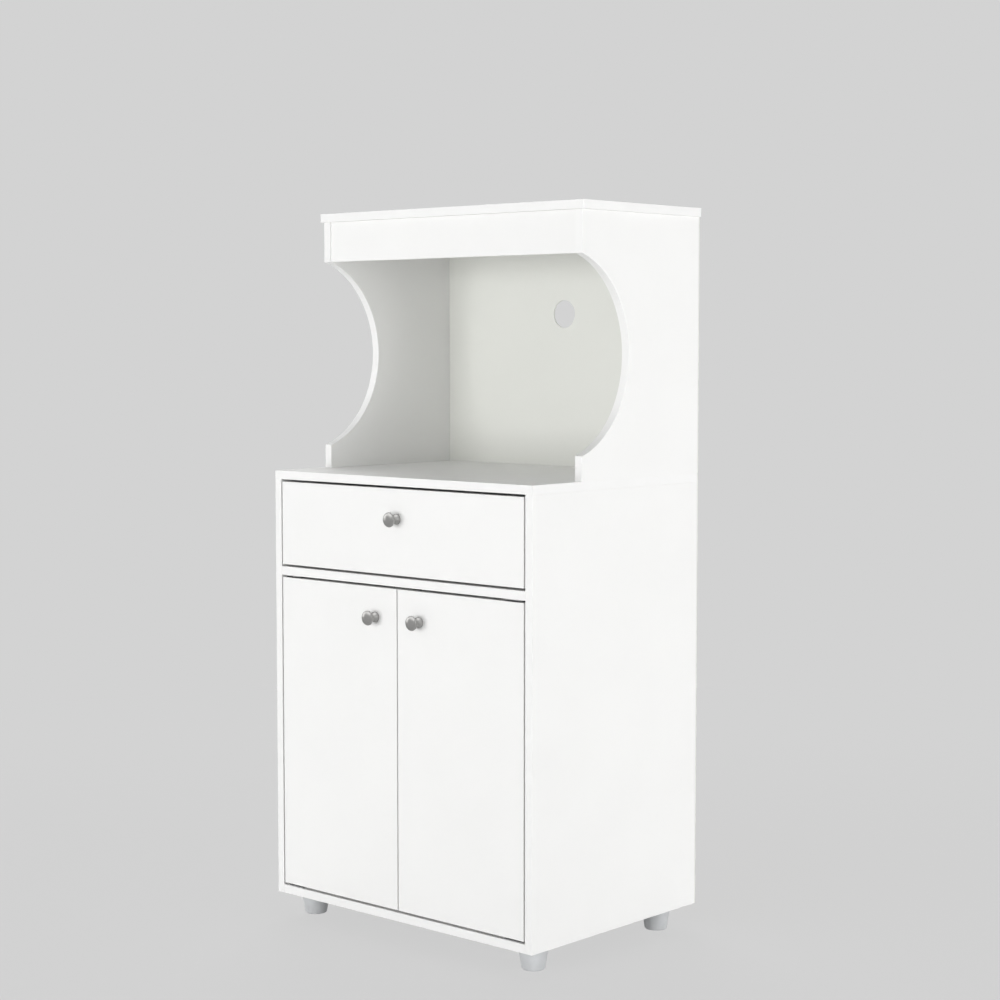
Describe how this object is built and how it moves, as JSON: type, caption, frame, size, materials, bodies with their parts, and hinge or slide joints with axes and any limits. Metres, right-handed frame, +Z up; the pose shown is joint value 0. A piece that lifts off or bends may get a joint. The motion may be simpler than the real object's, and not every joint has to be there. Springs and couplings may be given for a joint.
{
  "type": "microwave cabinet",
  "caption": "Freestanding white kitchen cabinet: drawer over inset doors, open upper bay with C-shaped side cut-outs, and a flat top that carries a microwave oven.",
  "frame": {"origin": "on the floor, under the middle of the overall box, which runs from the knobs' crowns to the rear faces of the back panels", "axes": "+X to the right seen from the front, +Y from the fronts to the back, +Z up"},
  "size_m": [0.61, 0.458, 1.2435],
  "materials": {
    "white_board": "white melamine-faced chipboard with white edging, satin",
    "white_hardboard": "thin hardboard with white lacquer, satin",
    "grey_plastic": "light grey moulded plastic, fine matt grain",
    "satin_nickel": "satin nickel plate on a turned metal knob",
    "white_steel": "white epoxy-coated sheet steel",
    "white_nylon": "white nylon",
    "zinc_plate": "bright zinc plate",
    "dull_zinc": "dull zinc plate on stamped steel",
    "black_plastic": "black moulded plastic, fine grain",
    "bright_steel": "plain bright steel",
    "beech": "fluted beech dowel",
    "black_ferrite": "black bonded ferrite magnet"
  },
  "bodies": {
    "carcass": {"base_side_left": "white_board", "base_side_right": "white_board", "base_bottom_panel": "white_board", "worktop": "white_board", "divider_panel": "white_board", "base_back_panel": "white_hardboard", "adjustable_shelf": "white_board", "shelf_pins": "bright_steel", "hutch_side_left": "white_board", "hutch_side_right": "white_board", "hutch_top": "white_board", "hutch_rail": "white_board", "hutch_back_panel": "white_hardboard", "foot_front_left": "grey_plastic", "foot_front_right": "grey_plastic", "foot_rear_left": "grey_plastic", "foot_rear_right": "grey_plastic", "foot_screws": "zinc_plate", "cam_locks": "zinc_plate", "cam_bolts": "bright_steel", "dowels": "beech", "hutch_screws": "zinc_plate", "back_nails": "bright_steel", "fitting_screws": "zinc_plate", "cabinet_runner_left": "white_steel", "cabinet_runner_right": "white_steel", "hinge_frame_plates": "dull_zinc", "hinge_pins": "bright_steel", "hinge_washers": "black_plastic", "catch_body": "black_plastic", "catch_magnets": "black_ferrite"},
    "front_rollers": {"front_rollers": "white_nylon"},
    "drawer": {"drawer_front": "white_board", "drawer_side_left": "white_board", "drawer_side_right": "white_board", "drawer_back": "white_board", "drawer_bottom": "white_hardboard", "drawer_runner_left": "white_steel", "drawer_runner_right": "white_steel", "drawer_runner_screws": "zinc_plate", "drawer_back_screws": "zinc_plate", "drawer_cam_locks": "zinc_plate", "drawer_cam_bolts": "bright_steel", "drawer_dowels": "beech", "drawer_knob": "satin_nickel", "drawer_knob_screw": "zinc_plate"},
    "rear_rollers": {"rear_rollers": "white_nylon"},
    "door_left": {"door_left": "white_board", "door_left_hinge_plates": "dull_zinc", "door_left_hinge_screws": "zinc_plate", "door_left_strike_plate": "zinc_plate", "door_left_knob": "satin_nickel", "door_left_knob_screw": "zinc_plate"},
    "door_right": {"door_right": "white_board", "door_right_hinge_plates": "dull_zinc", "door_right_hinge_screws": "zinc_plate", "door_right_strike_plate": "zinc_plate", "door_right_knob": "satin_nickel", "door_right_knob_screw": "zinc_plate"}
  },
  "joints": [
    {"name": "drawer_slide", "type": "slide", "parent": "carcass", "child": "drawer", "axis": [0, -1, 0], "range_m": [0, 0.26]},
    {"name": "door_left_hinge", "type": "hinge", "parent": "carcass", "child": "door_left", "pos_m": [-0.272, -0.1965, 0.33175], "axis": [0, 0, -1], "range_deg": [0, 105]},
    {"name": "door_right_hinge", "type": "hinge", "parent": "carcass", "child": "door_right", "pos_m": [0.272, -0.1965, 0.33175], "axis": [0, 0, 1], "range_deg": [0, 105]},
    {"name": "front_rollers_spin", "type": "hinge", "parent": "carcass", "child": "front_rollers", "pos_m": [0, -0.175, 0.6449], "axis": [1, 0, 0], "range_deg": [0, 1700]},
    {"name": "rear_rollers_spin", "type": "hinge", "parent": "drawer", "child": "rear_rollers", "pos_m": [0, 0.147, 0.6465], "axis": [1, 0, 0], "range_deg": [0, 1400]}
  ],
  "couplings": [
    {"joint": "front_rollers_spin", "follows": "drawer_slide", "rad_per_m": 108.7},
    {"joint": "rear_rollers_spin", "follows": "drawer_slide", "rad_per_m": 90.909}
  ]
}
